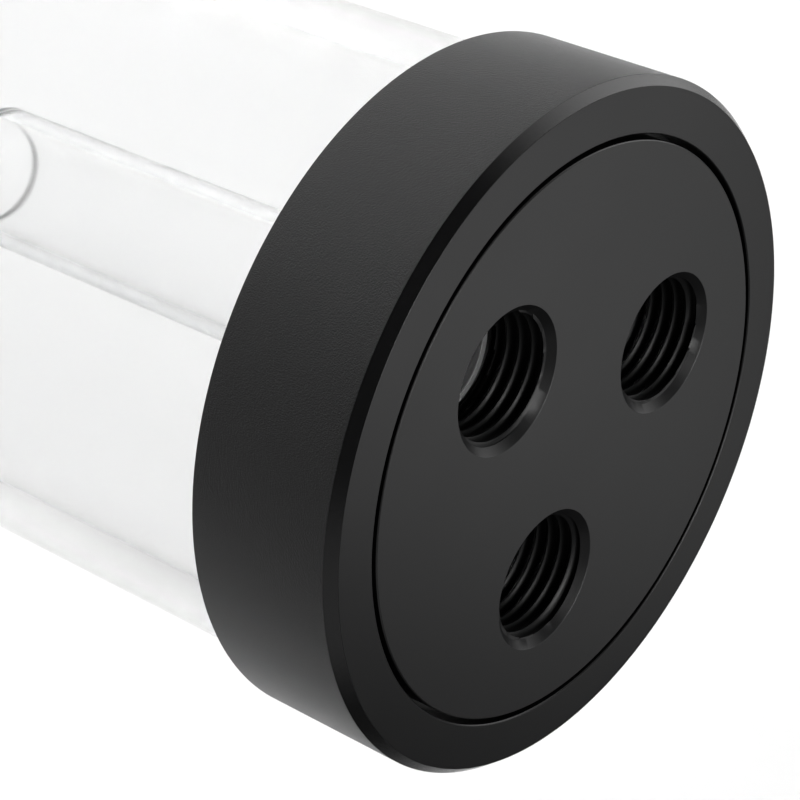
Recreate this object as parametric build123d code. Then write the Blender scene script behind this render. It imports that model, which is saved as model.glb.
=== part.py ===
from build123d import *
from math import cos, radians, sin
import os

# Tube reservoir for a liquid cooling loop, in millimetres.
# It stands upright: +Z runs along the tube and the origin is the middle of the bottom face.
# Each cap is drawn once with its outer face at Z = 0 and its body below, then placed at both ends.

# Driving dimensions: the whole reservoir and its tube
overall_height = 200.0
tube_outer_diameter = 60.0
tube_wall = 4.0
tube_end_chamfer = 0.4
bore_lead_in = 0.6

# Driving dimensions: the thread between tube and retaining ring
# The tube is drawn at the root of its thread and the ring at the root of its own.
thread_depth = 1.0
thread_length = 6.6
ring_clearance = 0.08

# Driving dimensions: retaining ring
ring_wall = 2.42
ring_length = 15.4
lip_thickness = 3.0
lip_bearing = 2.7
ring_chamfer_radial = 0.8
ring_chamfer_axial = 1.0
rear_edge_chamfer = 0.3

# Driving dimensions: port plate
seam_gap = 0.3
edge_break = 0.2
running_gap = 0.1
flange_thickness = 3.8
flange_clearance = 0.28
spigot_length = 6.0
spigot_clearance = 0.15
spigot_lead_in = 0.8

# Driving dimensions: seal rings, drawn as squeezed in their grooves
seal_height = 1.6
seal_width = 2.2
groove_room = 0.4
seal_clearance = 0.03
seal_corner = 0.5

# Driving dimensions: ports and the inner tube that screws into one of them
port_count = 3
port_circle_diameter = 27.8
port_thread_diameter = 13.16
port_countersink = 0.18
rear_countersink = 0.5
inner_tube_diameter = 12.5
inner_tube_wall = 1.25
inner_tube_length = 54.0
inner_thread_depth = 0.5
inner_thread_clearance = 0.08
inner_thread_length = 6.3
inner_edge_break = 0.1
inner_seal_width = 1.7
inner_seal_height = 1.6

# Radii and heights that follow from them
tube_radius = tube_outer_diameter / 2
bore_radius = tube_radius - tube_wall
neck_radius = tube_radius - thread_depth
ring_bore_radius = tube_radius + ring_clearance
ring_radius = ring_bore_radius + ring_wall
flange_radius = ring_bore_radius - flange_clearance
boss_radius = flange_radius - lip_bearing
lip_bore_radius = boss_radius + seam_gap
spigot_radius = bore_radius - spigot_clearance
flange_top = -(lip_thickness + running_gap)
flange_bottom = flange_top - flange_thickness
tube_end = flange_bottom - running_gap
spigot_bottom = flange_bottom - spigot_length
seal_radius = (bore_radius + bore_lead_in + neck_radius - tube_end_chamfer) / 2
port_bore_radius = port_thread_diameter / 2
port_circle_radius = port_circle_diameter / 2
inner_tube_radius = inner_tube_diameter / 2
inner_neck_radius = inner_tube_radius - inner_thread_depth
inner_seat_radius = inner_tube_radius + inner_thread_clearance
inner_seat_top = spigot_bottom + inner_thread_length


def turned(points):
    """A solid of revolution about Z from its outline of (radius, height) points."""
    outline = make_face(Polyline(*points, close=True))
    return revolve(Plane.XZ * outline, Axis.Z)


def seal_ring(mean_radius, middle_height, width, height):
    """A rubber ring squeezed flat on four sides, with its corners taken off."""
    section = Rectangle(width, height)
    section = chamfer(section.vertices(), seal_corner)
    return revolve(Plane.XZ * Pos(mean_radius, middle_height) * section, Axis.Z)


def port_places():
    """The port axes on their circle; the first is the one that holds the inner tube."""
    step = 360 / port_count
    for index in range(port_count):
        angle = radians(90 + index * step)
        yield Pos(port_circle_radius * cos(angle), port_circle_radius * sin(angle), 0)


def make_tube():
    """Clear tube with a threaded neck at each end and a lead-in for the plate's spigot."""
    half = overall_height / 2 + tube_end
    band = half - thread_length
    side = [
        (bore_radius, half - bore_lead_in),
        (bore_radius + bore_lead_in, half),
        (neck_radius - tube_end_chamfer, half),
        (neck_radius, half - tube_end_chamfer),
        (neck_radius, band),
        (tube_radius, band),
    ]
    mirrored = [(radius, -height) for radius, height in reversed(side)]
    return Pos(0, 0, overall_height / 2) * turned(side + mirrored)


def make_retaining_ring():
    """Threaded ring whose inward lip holds the port plate down on the end of the tube."""
    return turned(
        [
            (lip_bore_radius + edge_break, 0),
            (ring_radius - ring_chamfer_radial, 0),
            (ring_radius, -ring_chamfer_axial),
            (ring_radius, -ring_length + rear_edge_chamfer),
            (ring_radius - rear_edge_chamfer, -ring_length),
            (ring_bore_radius, -ring_length),
            (ring_bore_radius, -lip_thickness),
            (lip_bore_radius, -lip_thickness),
            (lip_bore_radius, -edge_break),
        ]
    )


def port_cutter():
    """A threaded port right through the plate, countersunk at both ends."""
    return turned(
        [
            (0, 0),
            (port_bore_radius + port_countersink, 0),
            (port_bore_radius, -port_countersink),
            (port_bore_radius, spigot_bottom + rear_countersink),
            (port_bore_radius + rear_countersink, spigot_bottom),
            (0, spigot_bottom),
        ]
    )


def inner_tube_port_cutter():
    """The port whose rear half is narrower and takes the thread of the inner tube."""
    return turned(
        [
            (0, 0),
            (port_bore_radius + port_countersink, 0),
            (port_bore_radius, -port_countersink),
            (port_bore_radius, inner_seat_top),
            (inner_seat_radius, inner_seat_top),
            (inner_seat_radius, spigot_bottom),
            (0, spigot_bottom),
        ]
    )


def make_port_plate(holds_inner_tube):
    """Plate with the ports: a boss inside the ring's lip, a flange below it and a spigot in the tube."""
    half_groove = seal_width / 2 + groove_room
    body = turned(
        [
            (0, 0),
            (boss_radius - edge_break, 0),
            (boss_radius, -edge_break),
            (boss_radius, flange_top),
            (flange_radius, flange_top),
            (flange_radius, flange_bottom),
            (seal_radius + half_groove, flange_bottom),
            (seal_radius + half_groove, tube_end + seal_height),
            (seal_radius - half_groove, tube_end + seal_height),
            (seal_radius - half_groove, flange_bottom),
            (spigot_radius, flange_bottom),
            (spigot_radius, spigot_bottom + spigot_lead_in),
            (spigot_radius - spigot_lead_in, spigot_bottom),
            (0, spigot_bottom),
        ]
    )
    first, *others = port_places()
    body -= first * (inner_tube_port_cutter() if holds_inner_tube else port_cutter())
    for place in others:
        body -= place * port_cutter()
    return body


def make_plate_seal():
    """Seal ring between the plate's flange and the end of the tube."""
    height = seal_height - 2 * seal_clearance
    return seal_ring(seal_radius, tube_end + seal_height / 2, seal_width, height)


def make_inner_tube():
    """Clear inner tube, threaded at the end that screws into the first port from inside."""
    top = inner_seat_top - running_gap
    bore = inner_tube_radius - inner_tube_wall
    return next(port_places()) * turned(
        [
            (bore, top),
            (inner_neck_radius - inner_edge_break, top),
            (inner_neck_radius, top - inner_edge_break),
            (inner_neck_radius, spigot_bottom - running_gap),
            (inner_tube_radius, spigot_bottom - running_gap),
            (inner_tube_radius, top - inner_tube_length + inner_edge_break),
            (inner_tube_radius - inner_edge_break, top - inner_tube_length),
            (bore, top - inner_tube_length),
        ]
    )


def make_inner_tube_seal():
    """Seal ring round the inner tube, against the inner face of the port plate."""
    mean_radius = inner_tube_radius + seal_clearance + inner_seal_width / 2
    middle = spigot_bottom - running_gap - inner_seal_height / 2
    ring = seal_ring(mean_radius, middle, inner_seal_width, inner_seal_height)
    return next(port_places()) * ring


def write(name, shape):
    """One file for each piece, named after it."""
    export_step(shape, f"parts/{name}.step")


def main():
    os.makedirs("parts", exist_ok=True)
    write("reservoir_tube", make_tube())
    top = Pos(0, 0, overall_height)
    bottom = Rot(0, 180, 0)
    for end, place in (("top", top), ("bottom", bottom)):
        write(f"{end}_retaining_ring", place * make_retaining_ring())
        write(f"{end}_port_plate", place * make_port_plate(holds_inner_tube=end == "top"))
        write(f"{end}_plate_seal", place * make_plate_seal())
    write("inner_tube", top * make_inner_tube())
    write("inner_tube_seal", top * make_inner_tube_seal())


main()
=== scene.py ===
import math

import bmesh
import bpy
from mathutils import Euler, Matrix, Vector


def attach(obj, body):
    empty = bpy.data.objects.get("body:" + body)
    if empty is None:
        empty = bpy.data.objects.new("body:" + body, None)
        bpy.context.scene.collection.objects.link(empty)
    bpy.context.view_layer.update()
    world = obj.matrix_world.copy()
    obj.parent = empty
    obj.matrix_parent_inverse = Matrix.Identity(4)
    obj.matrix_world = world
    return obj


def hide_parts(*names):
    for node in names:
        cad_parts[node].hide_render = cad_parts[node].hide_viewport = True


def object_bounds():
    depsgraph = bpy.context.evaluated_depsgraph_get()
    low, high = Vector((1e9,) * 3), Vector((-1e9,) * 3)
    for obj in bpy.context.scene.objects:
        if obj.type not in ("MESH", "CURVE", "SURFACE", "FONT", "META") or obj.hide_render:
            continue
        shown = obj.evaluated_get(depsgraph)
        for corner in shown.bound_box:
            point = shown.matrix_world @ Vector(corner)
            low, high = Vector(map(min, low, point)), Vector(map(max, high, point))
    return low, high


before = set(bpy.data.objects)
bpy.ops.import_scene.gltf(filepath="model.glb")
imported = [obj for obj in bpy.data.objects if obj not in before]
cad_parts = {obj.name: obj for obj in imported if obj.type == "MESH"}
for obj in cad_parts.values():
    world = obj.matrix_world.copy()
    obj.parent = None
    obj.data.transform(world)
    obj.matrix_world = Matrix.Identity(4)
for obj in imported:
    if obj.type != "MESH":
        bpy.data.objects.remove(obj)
cad_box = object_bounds()


# The studio: a plain pale floor, a dim grey surround and large soft lights, with the camera
# where the photographer stood, above the cap and rolled so that the tube runs up to the left.
class Socket:
    """A node's output that Python arithmetic can be used on; each step adds a Math node."""

    def __init__(self, tree, socket):
        self.tree = tree
        self.socket = socket

    def math(self, operation, *others):
        return self.tree.math(operation, self, *others)

    def __add__(self, other):
        return self.tree.math("ADD", self, other)

    def __radd__(self, other):
        return self.tree.math("ADD", other, self)

    def __sub__(self, other):
        return self.tree.math("SUBTRACT", self, other)

    def __rsub__(self, other):
        return self.tree.math("SUBTRACT", other, self)

    def __mul__(self, other):
        return self.tree.math("MULTIPLY", self, other)

    def __rmul__(self, other):
        return self.tree.math("MULTIPLY", other, self)

    def __truediv__(self, other):
        return self.tree.math("DIVIDE", self, other)

    def __rtruediv__(self, other):
        return self.tree.math("DIVIDE", other, self)


class Tree:
    """A node tree, and the one way to add a node to it."""

    def __init__(self, tree):
        self.tree = tree
        tree.nodes.clear()

    def add(self, kind, settings=None, inputs=None, output=0):
        node = self.tree.nodes.new(kind)
        for name, value in (settings or {}).items():
            if name == "stops":
                ramp = node.color_ramp
                while len(ramp.elements) < len(value):
                    ramp.elements.new(1.0)
                for element, (place, shade) in zip(ramp.elements, value):
                    element.position = place
                    element.color = (shade, shade, shade, 1.0)
            else:
                setattr(node, name, value)
        for name, value in (inputs or {}).items():
            if isinstance(value, Socket):
                self.tree.links.new(value.socket, node.inputs[name])
            else:
                node.inputs[name].default_value = value
        return Socket(self, node.outputs[output]) if len(node.outputs) else None

    def math(self, operation, *values):
        return self.add("ShaderNodeMath", {"operation": operation}, dict(enumerate(values)))


def new_material(name):
    material = bpy.data.materials.new(name)
    material.use_nodes = True
    return material, Tree(material.node_tree)


floor_half_width = 3.0
floor_drop = 0.0003
floor_colour = (0.86, 0.86, 0.86, 1.0)
floor_roughness = 0.6
floor_mesh = bpy.data.meshes.new("floor")
corners = [(-1, -1), (1, -1), (1, 1), (-1, 1)]
floor_mesh.from_pydata(
    [(x * floor_half_width, y * floor_half_width, -floor_drop) for x, y in corners],
    [],
    [(0, 1, 2, 3)],
)
floor = bpy.data.objects.new("floor", floor_mesh)
bpy.context.scene.collection.objects.link(floor)
floor_material, tree = new_material("pale_floor")
grain = tree.add("ShaderNodeTexNoise", None, {"Scale": 60.0, "Detail": 3.0})
finish = {"Base Color": floor_colour, "Roughness": grain * 0.1 + floor_roughness}
shader = tree.add("ShaderNodeBsdfPrincipled", None, finish)
tree.add("ShaderNodeOutputMaterial", None, {"Surface": shader})
floor_mesh.materials.append(floor_material)

camera_place = Vector((-0.03095, 0.20686, 0.31994))
camera_aim = Vector((-0.0068, 0.0272, cad_box[1].z))
camera_roll = math.radians(113.01)
camera_data = bpy.data.cameras.new("camera")
camera_data.lens = 122.99
camera_data.sensor_width = 36.0
camera_data.clip_start = 0.01
camera = bpy.data.objects.new("camera", camera_data)
facing = (camera_place - camera_aim).to_track_quat("Z", "Y").to_matrix().to_4x4()
camera.matrix_world = Matrix.Translation(camera_place) @ facing @ Matrix.Rotation(camera_roll, 4, "Z")
bpy.context.scene.collection.objects.link(camera)
bpy.context.scene.camera = camera

world = bpy.data.worlds.new("dim_surround")
world.use_nodes = True
bpy.context.scene.world = world
tree = Tree(world.node_tree)
direction = tree.add("ShaderNodeTexCoord", None, None, "Generated")
climb = tree.add("ShaderNodeSeparateXYZ", None, {"Vector": direction}, "Z")
surround = [(0.0, 0.03), (0.5, 0.04), (0.75, 0.06), (1.0, 0.12)]
shade = tree.add("ShaderNodeValToRGB", {"stops": surround}, {"Fac": climb * 0.5 + 0.5})
background = tree.add("ShaderNodeBackground", None, {"Color": shade, "Strength": 1.0})
tree.add("ShaderNodeOutputWorld", None, {"Surface": background})

full_spread = 180.0
cap_middle = (0.0, 0.0, cad_box[1].z)


def soft_panel(name, bearing, climb, distance, size, radiance, spread=full_spread, centre=cap_middle):
    """A panel that faces a point from a bearing and climb in degrees, as bright as its radiance."""
    away = Vector((0.0, 0.0, 1.0))
    away.rotate(Euler((0.0, math.radians(90.0 - climb), math.radians(bearing))))
    data = bpy.data.lights.new(name, "AREA")
    data.shape = "RECTANGLE"
    data.size, data.size_y = size
    data.spread = math.radians(spread)
    data.energy = radiance * math.pi * data.size * data.size_y
    # A narrow spread sends the same energy into a smaller cone, so the panel needs less of it.
    if spread < full_spread:
        half = math.radians(spread) / 2
        data.energy *= (math.tan(half) - half) / math.tan(half)
    light = bpy.data.objects.new(name, data)
    facing = away.to_track_quat("Z", "Y").to_matrix().to_4x4()
    light.matrix_world = Matrix.Translation(Vector(centre) + away * distance) @ facing
    light.visible_camera = False
    bpy.context.scene.collection.objects.link(light)


soft_panel("room_panel", 0.0, 90.0, 1.4, (1.2, 1.2), 1.9)
soft_panel("backdrop_panel", 0.0, 90.0, 0.6, (0.5, 0.7), 29.0, spread=30.0, centre=(0.045, -0.365, 0.0))
soft_panel("back_panel", -68.0, 44.0, 1.0, (0.55, 0.55), 1.03)
soft_panel("key_panel", -10.0, 8.0, 0.85, (1.4, 0.6), 2.5, spread=110.0)
soft_panel("fill_panel", 175.0, 24.0, 0.9, (0.8, 0.6), 0.45)
soft_panel("front_panel", 0.0, 90.0, 0.8, (0.3, 0.3), 66.0, spread=45.0, centre=(0.19, 0.26, 0.0))
bpy.context.scene.view_settings.view_transform = "Standard"

# The retaining rings: turned from aluminium bar and anodised black, finely blasted outside and
# left smoother on the chamfer. Each screws on the end of the tube and its lip clamps the plate.
MILLIMETRE = 0.001
overall_height = cad_box[1].z / MILLIMETRE
round_segments = 256
ring_radius = 32.5
ring_length = 15.4
ring_chamfer_radial = 0.8
ring_chamfer_axial = 1.0
ring_lip_thickness = 3.0
ring_lip_bore = 27.47
ring_edge_break = 0.1
ring_bore = 30.08
edge_radius = 0.025
edge_steps = 3
longest_edge_share = 0.4
edge_guard_share = 0.15
weld_distance = 0.0003
sliver_length = 0.0005
smooth_degrees = 30.0
cap_thread_pitch = 1.5
cap_thread_turns = 4
cap_thread_top = -7.3
cap_thread_low = cap_thread_top - cap_thread_turns * cap_thread_pitch
ring_thread_crest = 29.1
ring_thread_root = 30.05
rows_per_turn = 16
crest_share = 0.17
thread_end_margin = 0.0001
ring_colour = (0.0018, 0.0018, 0.002, 1.0)
ring_roughness = 0.26
chamfer_blasting = 0.3
mask_margin = 0.02


def thread_tree():
    """A threaded wall on a grid that is wound with the thread, so its edges stay crisp."""
    group = bpy.data.node_groups.new("thread", "GeometryNodeTree")
    group.interface.new_socket("Geometry", in_out="OUTPUT", socket_type="NodeSocketGeometry")
    for name, kind in (
        ("Pitch", "NodeSocketFloat"),
        ("Turns", "NodeSocketInt"),
        ("Inner Radius", "NodeSocketFloat"),
        ("Outer Radius", "NodeSocketFloat"),
        ("Low End Radius", "NodeSocketFloat"),
        ("High End Radius", "NodeSocketFloat"),
        ("Low End", "NodeSocketFloat"),
        ("Segments", "NodeSocketInt"),
        ("Material", "NodeSocketMaterial"),
    ):
        group.interface.new_socket(name, in_out="INPUT", socket_type=kind)
    tree = Tree(group)
    entry = group.nodes.new("NodeGroupInput")
    given = {socket.name: Socket(tree, socket) for socket in entry.outputs if socket.name}
    pitch = given["Pitch"]
    length = given["Turns"] * pitch
    rows = (given["Turns"] + 1) * rows_per_turn + 1
    grid = tree.add(
        "GeometryNodeMeshGrid",
        None,
        {"Size X": 1.0, "Size Y": 1.0, "Vertices X": given["Segments"] + 1, "Vertices Y": rows},
        "Mesh",
    )
    place = tree.add("GeometryNodeInputPosition")
    across = tree.add("ShaderNodeSeparateXYZ", None, {"Vector": place}, "X") + 0.5
    along = tree.add("ShaderNodeSeparateXYZ", None, {"Vector": place}, "Y") + 0.5
    wound = along * (length + pitch)
    height = wound - pitch + across * pitch
    wave = ((wound / pitch).math("FRACT") * 2.0 - 1.0).math("ABSOLUTE")
    share = ((wave - crest_share) / (1.0 - 2.0 * crest_share)).math("MAXIMUM", 0.0).math("MINIMUM", 1.0)
    radius = given["Inner Radius"] + share * (given["Outer Radius"] - given["Inner Radius"])
    below = height.math("LESS_THAN", thread_end_margin)
    above = height.math("GREATER_THAN", length - thread_end_margin)
    radius = radius + below * (given["Low End Radius"] - radius)
    radius = radius + above * (given["High End Radius"] - radius)
    height = height.math("MAXIMUM", 0.0).math("MINIMUM", length) + given["Low End"]
    angle = across * math.tau
    wall = tree.add(
        "ShaderNodeCombineXYZ",
        None,
        {"X": radius * angle.math("COSINE"), "Y": radius * angle.math("SINE"), "Z": height},
    )
    shaped = tree.add("GeometryNodeSetPosition", None, {"Geometry": grid, "Position": wall})
    real = tree.add("GeometryNodeRealizeInstances", None, {"Geometry": shaped})
    done = tree.add("GeometryNodeSetMaterial", None, {"Geometry": real, "Material": given["Material"]})
    tree.add("NodeGroupOutput", None, {"Geometry": done})
    return group


thread = thread_tree()


def thread_wall(sizes):
    """The plain mesh that the thread's nodes give for these sizes, in millimetres."""
    holder = bpy.data.objects.new("thread_holder", bpy.data.meshes.new("thread_holder"))
    bpy.context.scene.collection.objects.link(holder)
    modifier = holder.modifiers.new("thread", "NODES")
    modifier.node_group = thread
    for socket in thread.interface.items_tree:
        if socket.in_out == "INPUT":
            modifier[socket.identifier] = sizes[socket.name]
    evaluated = holder.evaluated_get(bpy.context.evaluated_depsgraph_get())
    mesh = bpy.data.meshes.new_from_object(evaluated)
    bpy.data.objects.remove(holder)
    return mesh


def softened(points, radius=edge_radius, steps=edge_steps):
    """An outline of (radius, height) points with its inner corners rounded.

    A point just outside each rounding keeps the faces beside it flat when they are shaded smooth."""
    made = [points[0]]
    for before, corner, after in zip(points, points[1:], points[2:]):
        before, corner, after = Vector(before), Vector(corner), Vector(after)
        reach_in = min(radius, longest_edge_share * (before - corner).length)
        reach_out = min(radius, longest_edge_share * (after - corner).length)
        start = corner + (before - corner).normalized() * reach_in
        end = corner + (after - corner).normalized() * reach_out
        made.append(tuple(start + (before - corner).normalized() * edge_guard_share * reach_in))
        for step in range(steps + 1):
            t = step / steps
            made.append(tuple(start * (1 - t) ** 2 + corner * 2 * t * (1 - t) + end * t**2))
        made.append(tuple(end + (after - corner).normalized() * edge_guard_share * reach_out))
    made.append(points[-1])
    return made


def add_turned(bm, points, segments, centre=(0.0, 0.0)):
    """Turns an outline about an upright axis through centre."""
    rings = []
    for radius, height in points:
        rings.append(
            [
                bm.verts.new(
                    (
                        centre[0] + radius * math.cos(math.tau * i / segments),
                        centre[1] + radius * math.sin(math.tau * i / segments),
                        height,
                    )
                )
                for i in range(segments)
            ]
        )
    for low, high in zip(rings, rings[1:]):
        for i in range(segments):
            j = (i + 1) % segments
            bm.faces.new((low[i], low[j], high[j], high[i]))


def add_mesh(bm, mesh, centre=(0.0, 0.0), turn=0.0):
    """Moves a mesh of its own into the piece, turned about an upright axis through centre."""
    mesh.transform(Matrix.Translation((*centre, 0.0)) @ Matrix.Rotation(turn, 4, "Z"))
    bm.from_mesh(mesh)
    bpy.data.meshes.remove(mesh)


def finished(bm, name, material, place, sharp_degrees=smooth_degrees):
    """Welds the walls, points the faces outwards and makes the piece, in metres and in place."""
    bmesh.ops.remove_doubles(bm, verts=bm.verts, dist=weld_distance)
    bmesh.ops.dissolve_degenerate(bm, edges=bm.edges, dist=sliver_length)
    bmesh.ops.recalc_face_normals(bm, faces=bm.faces)
    bm.transform(place @ Matrix.Diagonal((MILLIMETRE, MILLIMETRE, MILLIMETRE, 1.0)))
    mesh = bpy.data.meshes.new(name)
    bm.to_mesh(mesh)
    bm.free()
    mesh.materials.clear()
    mesh.materials.append(material)
    mesh.shade_smooth()
    mesh.set_sharp_from_angle(angle=math.radians(sharp_degrees))
    piece = bpy.data.objects.new(name, mesh)
    bpy.context.scene.collection.objects.link(piece)
    return piece


def radius_and_height(tree):
    """The place on the piece, with its distance from the tube's axis and height in millimetres."""
    place = tree.add("ShaderNodeTexCoord", None, None, "Object")
    x, y, z = (tree.add("ShaderNodeSeparateXYZ", None, {"Vector": place}, axis) for axis in "XYZ")
    return place, (x * x + y * y).math("SQRT") / MILLIMETRE, z / MILLIMETRE


anodised, tree = new_material("black_anodised_aluminium")
place, radius, height = radius_and_height(tree)
blasted = {"Vector": place, "Scale": 7500.0, "Detail": 2.0, "Roughness": 0.6}
blasting = tree.add("ShaderNodeTexNoise", None, blasted)
cloud = tree.add("ShaderNodeTexNoise", None, {"Vector": place, "Scale": 70.0, "Detail": 2.0})
on_side = radius.math("GREATER_THAN", ring_radius - mask_margin)
on_chamfer = radius.math("GREATER_THAN", ring_radius - ring_chamfer_radial + mask_margin) - on_side
pits = blasting * (on_side + on_chamfer * chamfer_blasting)
grain = tree.add("ShaderNodeBump", None, {"Strength": 0.8, "Distance": 0.0001, "Height": pits})
shader = tree.add(
    "ShaderNodeBsdfPrincipled",
    None,
    {
        "Base Color": ring_colour,
        "Roughness": cloud * 0.06 + ring_roughness + on_side * 0.03 - on_chamfer * 0.08,
        "Specular IOR Level": 0.43,
        "Normal": grain,
    },
)
tree.add("ShaderNodeOutputMaterial", None, {"Surface": shader})

places = {
    "top": Matrix.Translation((0.0, 0.0, cad_box[1].z)),
    "bottom": Matrix.Rotation(math.pi, 4, "Y"),
}
for end, place in places.items():
    bm = bmesh.new()
    outside = softened(
        [
            (ring_bore, cap_thread_top),
            (ring_bore, -ring_lip_thickness),
            (ring_lip_bore, -ring_lip_thickness),
            (ring_lip_bore, -ring_edge_break),
            (ring_lip_bore + ring_edge_break, 0.0),
            (ring_radius - ring_chamfer_radial, 0.0),
            (ring_radius, -ring_chamfer_axial),
            (ring_radius, -ring_length),
            (ring_bore, -ring_length),
            (ring_bore, cap_thread_low),
        ]
    )
    add_turned(bm, outside, round_segments)
    wall = thread_wall(
        {
            "Pitch": cap_thread_pitch,
            "Turns": cap_thread_turns,
            "Inner Radius": ring_thread_crest,
            "Outer Radius": ring_thread_root,
            "Low End Radius": ring_bore,
            "High End Radius": ring_bore,
            "Low End": cap_thread_low,
            "Segments": round_segments,
            "Material": anodised,
        }
    )
    add_mesh(bm, wall)
    ring = finished(bm, f"{end}_ring", anodised, place)
    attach(ring, f"{end}_ring_body")
    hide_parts(f"{end}_retaining_ring")

# The port plates: discs of black acetal turned with a boss, a flange and a spigot, then drilled,
# countersunk and tapped. Each lies on the end of its tube, clamped by the ring's lip.
running_gap = 0.1
seam_width = 0.52
boss_radius = ring_lip_bore - seam_width
boss_edge_break = 0.1
flange_radius = 29.8
flange_thickness = 3.8
flange_top = -(ring_lip_thickness + running_gap)
flange_bottom = flange_top - flange_thickness
tube_end = flange_bottom - running_gap
spigot_radius = 25.85
spigot_length = 6.0
spigot_bottom = flange_bottom - spigot_length
spigot_lead_in = 0.8
seal_radius = 27.6
groove_half_width = 1.5
groove_depth = 1.5
front_strip = 0.05
rear_strip = 0.2
port_segments = 96
port_count = 3
port_circle_radius = 13.9
port_mouth_radius = 6.757
port_mouth_strip = 0.15
port_cone_depth = 0.657
port_thread_crest = 5.8
port_thread_root = 6.56
port_thread_pitch = 1.337
port_thread_turns = 8
port_thread_starts = (43, 95, 22)
rear_mouth_radius = 7.08
rear_countersink = 0.5
stepped_port_turns = 4
seat_crest = 5.85
seat_root = 6.3
seat_bore = 6.33
seat_length = 6.3
seat_pitch = 1.0
seat_turns = 5
seat_top = spigot_bottom + seat_length
seat_low = seat_top - seat_turns * seat_pitch
plate_weld_distance = 0.002
same_height = 0.0005
face_colour = (0.003, 0.003, 0.0032, 1.0)
face_roughness = 0.3
# Darker than the face colour: painted shade for the ports and the plate's inside.
shaded_inside_colour = (0.002, 0.002, 0.0022, 1.0)
inside_roughness = 0.35
face_skin = 0.03
boss_rim = 2.0

# The look changes from the turned face to the duller, rougher walls of the ports and the plate's inside;
# their darker colour and weaker reflection are painted shade for the shadow in the bores.
acetal, tree = new_material("black_acetal")
place, radius, height = radius_and_height(tree)
depth = overall_height / 2 - (height - overall_height / 2).math("ABSOLUTE")
inside = depth.math("GREATER_THAN", face_skin) * radius.math("LESS_THAN", boss_radius - boss_rim)
one_way = {"noise_dimensions": "1D"}
turning = tree.add("ShaderNodeTexNoise", one_way, {"W": radius * 9.0, "Scale": 1.0, "Detail": 2.0})
cloud = tree.add("ShaderNodeTexNoise", None, {"Vector": place, "Scale": 90.0, "Detail": 3.0})
marks = tree.add("ShaderNodeBump", None, {"Strength": 0.04, "Distance": 0.00002, "Height": turning})
faced = tree.add(
    "ShaderNodeBsdfPrincipled",
    None,
    {"Base Color": face_colour, "Roughness": cloud * 0.05 + face_roughness, "Normal": marks},
)
# The walls of the ports and the plate's inside: rougher, with painted shade as a darker colour and a
# weaker reflection.
tapped_and_shaded = tree.add(
    "ShaderNodeBsdfPrincipled",
    None,
    {"Base Color": shaded_inside_colour, "Roughness": cloud * 0.1 + inside_roughness, "Specular IOR Level": 0.3},
)
shader = tree.add("ShaderNodeMixShader", None, {0: inside, 1: faced, 2: tapped_and_shaded})
tree.add("ShaderNodeOutputMaterial", None, {"Surface": shader})


def port_places():
    """The port axes; the first is the one over the inner tube."""
    for index in range(port_count):
        angle = math.pi / 2 + math.tau * index / port_count
        yield port_circle_radius * math.cos(angle), port_circle_radius * math.sin(angle)


def add_port_thread(bm, centre, turns, start):
    """The tapped wall of a port below its countersink, turned on by a number of segments."""
    low_end = -port_cone_depth - turns * port_thread_pitch
    wall = thread_wall(
        {
            "Pitch": port_thread_pitch,
            "Turns": turns,
            "Inner Radius": port_thread_crest,
            "Outer Radius": port_thread_root,
            "Low End Radius": port_thread_root,
            "High End Radius": port_mouth_radius - port_cone_depth,
            "Low End": low_end,
            "Segments": port_segments,
            "Material": acetal,
        }
    )
    add_mesh(bm, wall, centre, start * math.tau / port_segments)
    return low_end


def add_seat(bm, centre, port_low):
    """The narrower threaded seat of the inner tube, from the foot of the port's own thread."""
    step = [(port_thread_root, port_low), (port_thread_root, seat_top), (seat_bore, seat_top)]
    add_turned(bm, step, port_segments, centre)
    wall = thread_wall(
        {
            "Pitch": seat_pitch,
            "Turns": seat_turns,
            "Inner Radius": seat_crest,
            "Outer Radius": seat_root,
            "Low End Radius": seat_bore,
            "High End Radius": seat_bore,
            "Low End": seat_low,
            "Segments": port_segments,
            "Material": acetal,
        }
    )
    add_mesh(bm, wall, centre)
    add_turned(bm, [(seat_bore, seat_low), (seat_bore, spigot_bottom)], port_segments, centre)


def fill_flat(bm, height):
    """Closes the open edges that lie at one height with a flat face round the ports."""
    edges = [
        edge
        for edge in bm.edges
        if edge.is_boundary and all(abs(vert.co.z - height) < same_height for vert in edge.verts)
    ]
    bmesh.ops.triangle_fill(bm, use_beauty=True, use_dissolve=False, edges=edges)


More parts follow.
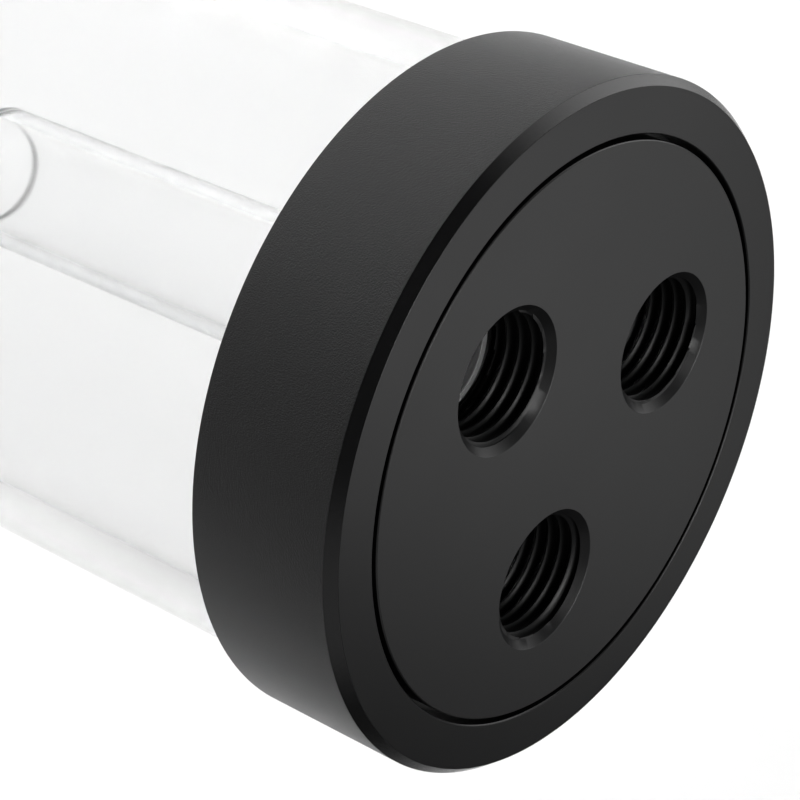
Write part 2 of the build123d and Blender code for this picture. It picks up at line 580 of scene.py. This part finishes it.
for end, place in places.items():
    bm = bmesh.new()
    outside = softened(
        [
            (boss_radius - boss_edge_break - front_strip, 0.0),
            (boss_radius - boss_edge_break, 0.0),
            (boss_radius, -boss_edge_break),
            (boss_radius, flange_top),
            (flange_radius, flange_top),
            (flange_radius, flange_bottom),
            (seal_radius + groove_half_width, flange_bottom),
            (seal_radius + groove_half_width, flange_bottom + groove_depth),
            (seal_radius - groove_half_width, flange_bottom + groove_depth),
            (seal_radius - groove_half_width, flange_bottom),
            (spigot_radius, flange_bottom),
            (spigot_radius, spigot_bottom + spigot_lead_in),
            (spigot_radius - spigot_lead_in, spigot_bottom),
            (spigot_radius - spigot_lead_in - rear_strip, spigot_bottom),
        ]
    )
    add_turned(bm, outside, round_segments)
    for index, (centre, start) in enumerate(zip(port_places(), port_thread_starts)):
        mouth = [
            (port_mouth_radius + port_mouth_strip, 0.0),
            (port_mouth_radius, 0.0),
            (port_mouth_radius - port_cone_depth, -port_cone_depth),
        ]
        add_turned(bm, softened(mouth), port_segments, centre)
        if end == "top" and index == 0:
            add_seat(bm, centre, add_port_thread(bm, centre, stepped_port_turns, start))
        else:
            rear = [
                (port_thread_root, add_port_thread(bm, centre, port_thread_turns, start)),
                (port_thread_root, spigot_bottom + rear_countersink),
                (rear_mouth_radius, spigot_bottom),
            ]
            add_turned(bm, rear, port_segments, centre)
    bmesh.ops.remove_doubles(bm, verts=bm.verts, dist=plate_weld_distance)
    fill_flat(bm, 0.0)
    fill_flat(bm, spigot_bottom)
    plate = finished(bm, f"{end}_plate", acetal, place)
    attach(plate, f"{end}_plate_body")
    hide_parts(f"{end}_port_plate")

# The tube: clear acrylic, polished, with a thread turned on the neck at each end and a small
# lead-in in the bore for the plate's spigot.
tube_radius = 30.0
tube_bore = 26.0
tube_neck = 29.0
tube_thread_crest = 29.95
tube_neck_length = 6.6
tube_end_chamfer = 0.4
tube_lead_in = 0.6
inner_length = 54.0
inner_top = seat_top - running_gap
inner_bottom = inner_top - inner_length
neck_start = tube_end - tube_neck_length
machined_margin = 0.05
machined_depth = machined_margin - spigot_bottom
cut_margin = 0.2
bore_margin = 1.0
acrylic_index = 1.49
matte_tint = 0.94
matte_roughness = 0.35
cool_tinge = 0.003


def clear_acrylic(name, tint, matte_share, polish):
    """Polished clear acrylic, matte for a share of its look where it was turned or cut."""
    material, tree = new_material(name)
    place, radius, height = radius_and_height(tree)
    wipe = tree.add("ShaderNodeTexNoise", None, {"Vector": place, "Scale": 40.0, "Detail": 4.0})
    across = {"Vector": place, "Scale": 220.0, "Detail": 1.0}
    draw = tree.add("ShaderNodeTexNoise", {"noise_dimensions": "2D"}, across)
    waves = tree.add("ShaderNodeBump", None, {"Strength": 0.004, "Distance": 0.00003, "Height": draw})
    clear = tree.add(
        "ShaderNodeBsdfPrincipled",
        None,
        {
            "Base Color": (tint, tint + cool_tinge, tint + cool_tinge, 1.0),
            "Roughness": wipe * 0.02 + polish,
            "IOR": acrylic_index,
            "Transmission Weight": 1.0,
            "Normal": waves,
        },
    )
    tool_marks = tree.add("ShaderNodeTexNoise", one_way, {"W": radius * 30.0, "Scale": 1.0, "Detail": 2.0})
    matte = tree.add(
        "ShaderNodeBsdfPrincipled",
        None,
        {
            "Base Color": (matte_tint, matte_tint, matte_tint, 1.0),
            "Roughness": tool_marks * 0.2 + matte_roughness,
            "IOR": acrylic_index,
            "Transmission Weight": 0.8,
        },
    )
    from_middle = (height - overall_height / 2).math("ABSOLUTE")
    turned = from_middle.math("GREATER_THAN", overall_height / 2 - machined_depth)
    from_inner_end = (height - (overall_height + inner_bottom)).math("ABSOLUTE")
    in_bore = radius.math("LESS_THAN", tube_bore - bore_margin)
    cut_off = from_inner_end.math("LESS_THAN", cut_margin) * in_bore
    machined = turned.math("MAXIMUM", cut_off) * matte_share
    shader = tree.add("ShaderNodeMixShader", None, {0: machined, 1: clear, 2: matte})
    tree.add("ShaderNodeOutputMaterial", None, {"Surface": shader})
    return material


acrylic = clear_acrylic("clear_acrylic", tint=0.94, matte_share=0.45, polish=0.0)
bm = bmesh.new()
upper = [
    (tube_radius, -overall_height / 2),
    (tube_radius, neck_start),
    (tube_neck, neck_start),
    (tube_neck, cap_thread_low),
]
mouth = [
    (tube_neck, cap_thread_top),
    (tube_neck, tube_end - tube_end_chamfer),
    (tube_neck - tube_end_chamfer, tube_end),
    (tube_bore + tube_lead_in, tube_end),
    (tube_bore, tube_end - tube_lead_in),
    (tube_bore, -overall_height / 2),
]
lifted = Matrix.Translation((0.0, 0.0, overall_height))
turned_over = Matrix.Rotation(math.pi, 4, "Y")
for end_place in (lifted, turned_over):
    half = bmesh.new()
    add_turned(half, softened(upper), round_segments)
    add_turned(half, softened(mouth), round_segments)
    wall = thread_wall(
        {
            "Pitch": cap_thread_pitch,
            "Turns": cap_thread_turns,
            "Inner Radius": tube_neck,
            "Outer Radius": tube_thread_crest,
            "Low End Radius": tube_neck,
            "High End Radius": tube_neck,
            "Low End": cap_thread_low,
            "Segments": round_segments,
            "Material": acrylic,
        }
    )
    add_mesh(half, wall)
    half.transform(end_place)
    half_mesh = bpy.data.meshes.new("tube_half")
    half.to_mesh(half_mesh)
    half.free()
    add_mesh(bm, half_mesh)
tube = finished(bm, "tube", acrylic, Matrix.Identity(4))
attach(tube, "tube_body")
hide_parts("reservoir_tube")

# The inner tube: a short clear acrylic tube with a fine thread, screwed into the first port
# from inside so that the return flow enters below the surface.
inner_radius = 6.25
inner_bore = 5.0
inner_neck = 5.75
inner_crest = 6.2
inner_edge = 0.1
inner_edge_radius = 0.12
inner_edge_steps = 4
inner_shoulder = spigot_bottom - running_gap
inner_thread_turns = 4
inner_thread_top = seat_low + inner_thread_turns * seat_pitch
inner_segments = 160
inner_acrylic = clear_acrylic("inner_clear_acrylic", tint=0.999, matte_share=0.8, polish=0.08)

bm = bmesh.new()
centre = next(port_places())
outline = softened(
    [
        (inner_neck, inner_thread_top),
        (inner_neck, inner_top - inner_edge),
        (inner_neck - inner_edge, inner_top),
        (inner_bore, inner_top),
        (inner_bore, inner_bottom),
        (inner_radius, inner_bottom),
        (inner_radius, inner_shoulder),
        (inner_neck, inner_shoulder),
        (inner_neck, seat_low),
    ],
    inner_edge_radius,
    inner_edge_steps,
)
add_turned(bm, outline, inner_segments, centre)
wall = thread_wall(
    {
        "Pitch": seat_pitch,
        "Turns": inner_thread_turns,
        "Inner Radius": inner_neck,
        "Outer Radius": inner_crest,
        "Low End Radius": inner_neck,
        "High End Radius": inner_neck,
        "Low End": seat_low,
        "Segments": inner_segments,
        "Material": inner_acrylic,
    }
)
add_mesh(bm, wall, centre)
inner = finished(bm, "inner_clear_tube", inner_acrylic, places["top"])
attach(inner, "inner_tube_body")
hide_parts("inner_tube")

# The seal rings: moulded black rubber cords of round section, squeezed a little flat between
# the plate and what it seals on.
seal_half_width = 1.08
seal_half_height = 0.77
seal_rise = 0.8
seal_clearance = 0.04
inner_seal_half_width = 0.84
inner_seal_half_height = 0.79
inner_seal_radius = inner_radius + seal_clearance + inner_seal_half_width
inner_seal_middle = spigot_bottom - running_gap - seal_rise
seal_segments = 192
section_points = 24
side_flatness = 0.8
end_flatness = 0.7
seal_smooth_degrees = 60.0
rubber_colour = (0.014, 0.014, 0.015, 1.0)
rubber_roughness = 0.5

rubber, tree = new_material("black_rubber")
place = tree.add("ShaderNodeTexCoord", None, None, "Object")
bloom = tree.add("ShaderNodeTexNoise", None, {"Vector": place, "Scale": 900.0, "Detail": 4.0})
skin = tree.add("ShaderNodeBump", None, {"Strength": 0.3, "Distance": 0.00004, "Height": bloom})
shader = tree.add(
    "ShaderNodeBsdfPrincipled",
    None,
    {"Base Color": rubber_colour, "Roughness": bloom * 0.2 + rubber_roughness, "Normal": skin},
)
tree.add("ShaderNodeOutputMaterial", None, {"Surface": shader})


def add_seal(bm, radius, middle, half_width, half_height, segments, centre=(0.0, 0.0)):
    """A ring of round section, pressed flat where it touches."""
    outline = []
    for i in range(section_points + 1):
        angle = math.tau * i / section_points
        x = math.copysign(abs(math.cos(angle)) ** side_flatness, math.cos(angle))
        y = math.copysign(abs(math.sin(angle)) ** end_flatness, math.sin(angle))
        outline.append((radius + half_width * x, middle + half_height * y))
    add_turned(bm, outline, segments, centre)


for end, place in places.items():
    bm = bmesh.new()
    add_seal(bm, seal_radius, tube_end + seal_rise, seal_half_width, seal_half_height, seal_segments)
    seal = finished(bm, f"{end}_seal_ring", rubber, place, seal_smooth_degrees)
    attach(seal, f"{end}_plate_body")
    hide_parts(f"{end}_plate_seal")
bm = bmesh.new()
add_seal(
    bm,
    inner_seal_radius,
    inner_seal_middle,
    inner_seal_half_width,
    inner_seal_half_height,
    port_segments,
    next(port_places()),
)
seal = finished(bm, "inner_seal_ring", rubber, places["top"], seal_smooth_degrees)
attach(seal, "inner_seal_body")
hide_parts("inner_tube_seal")
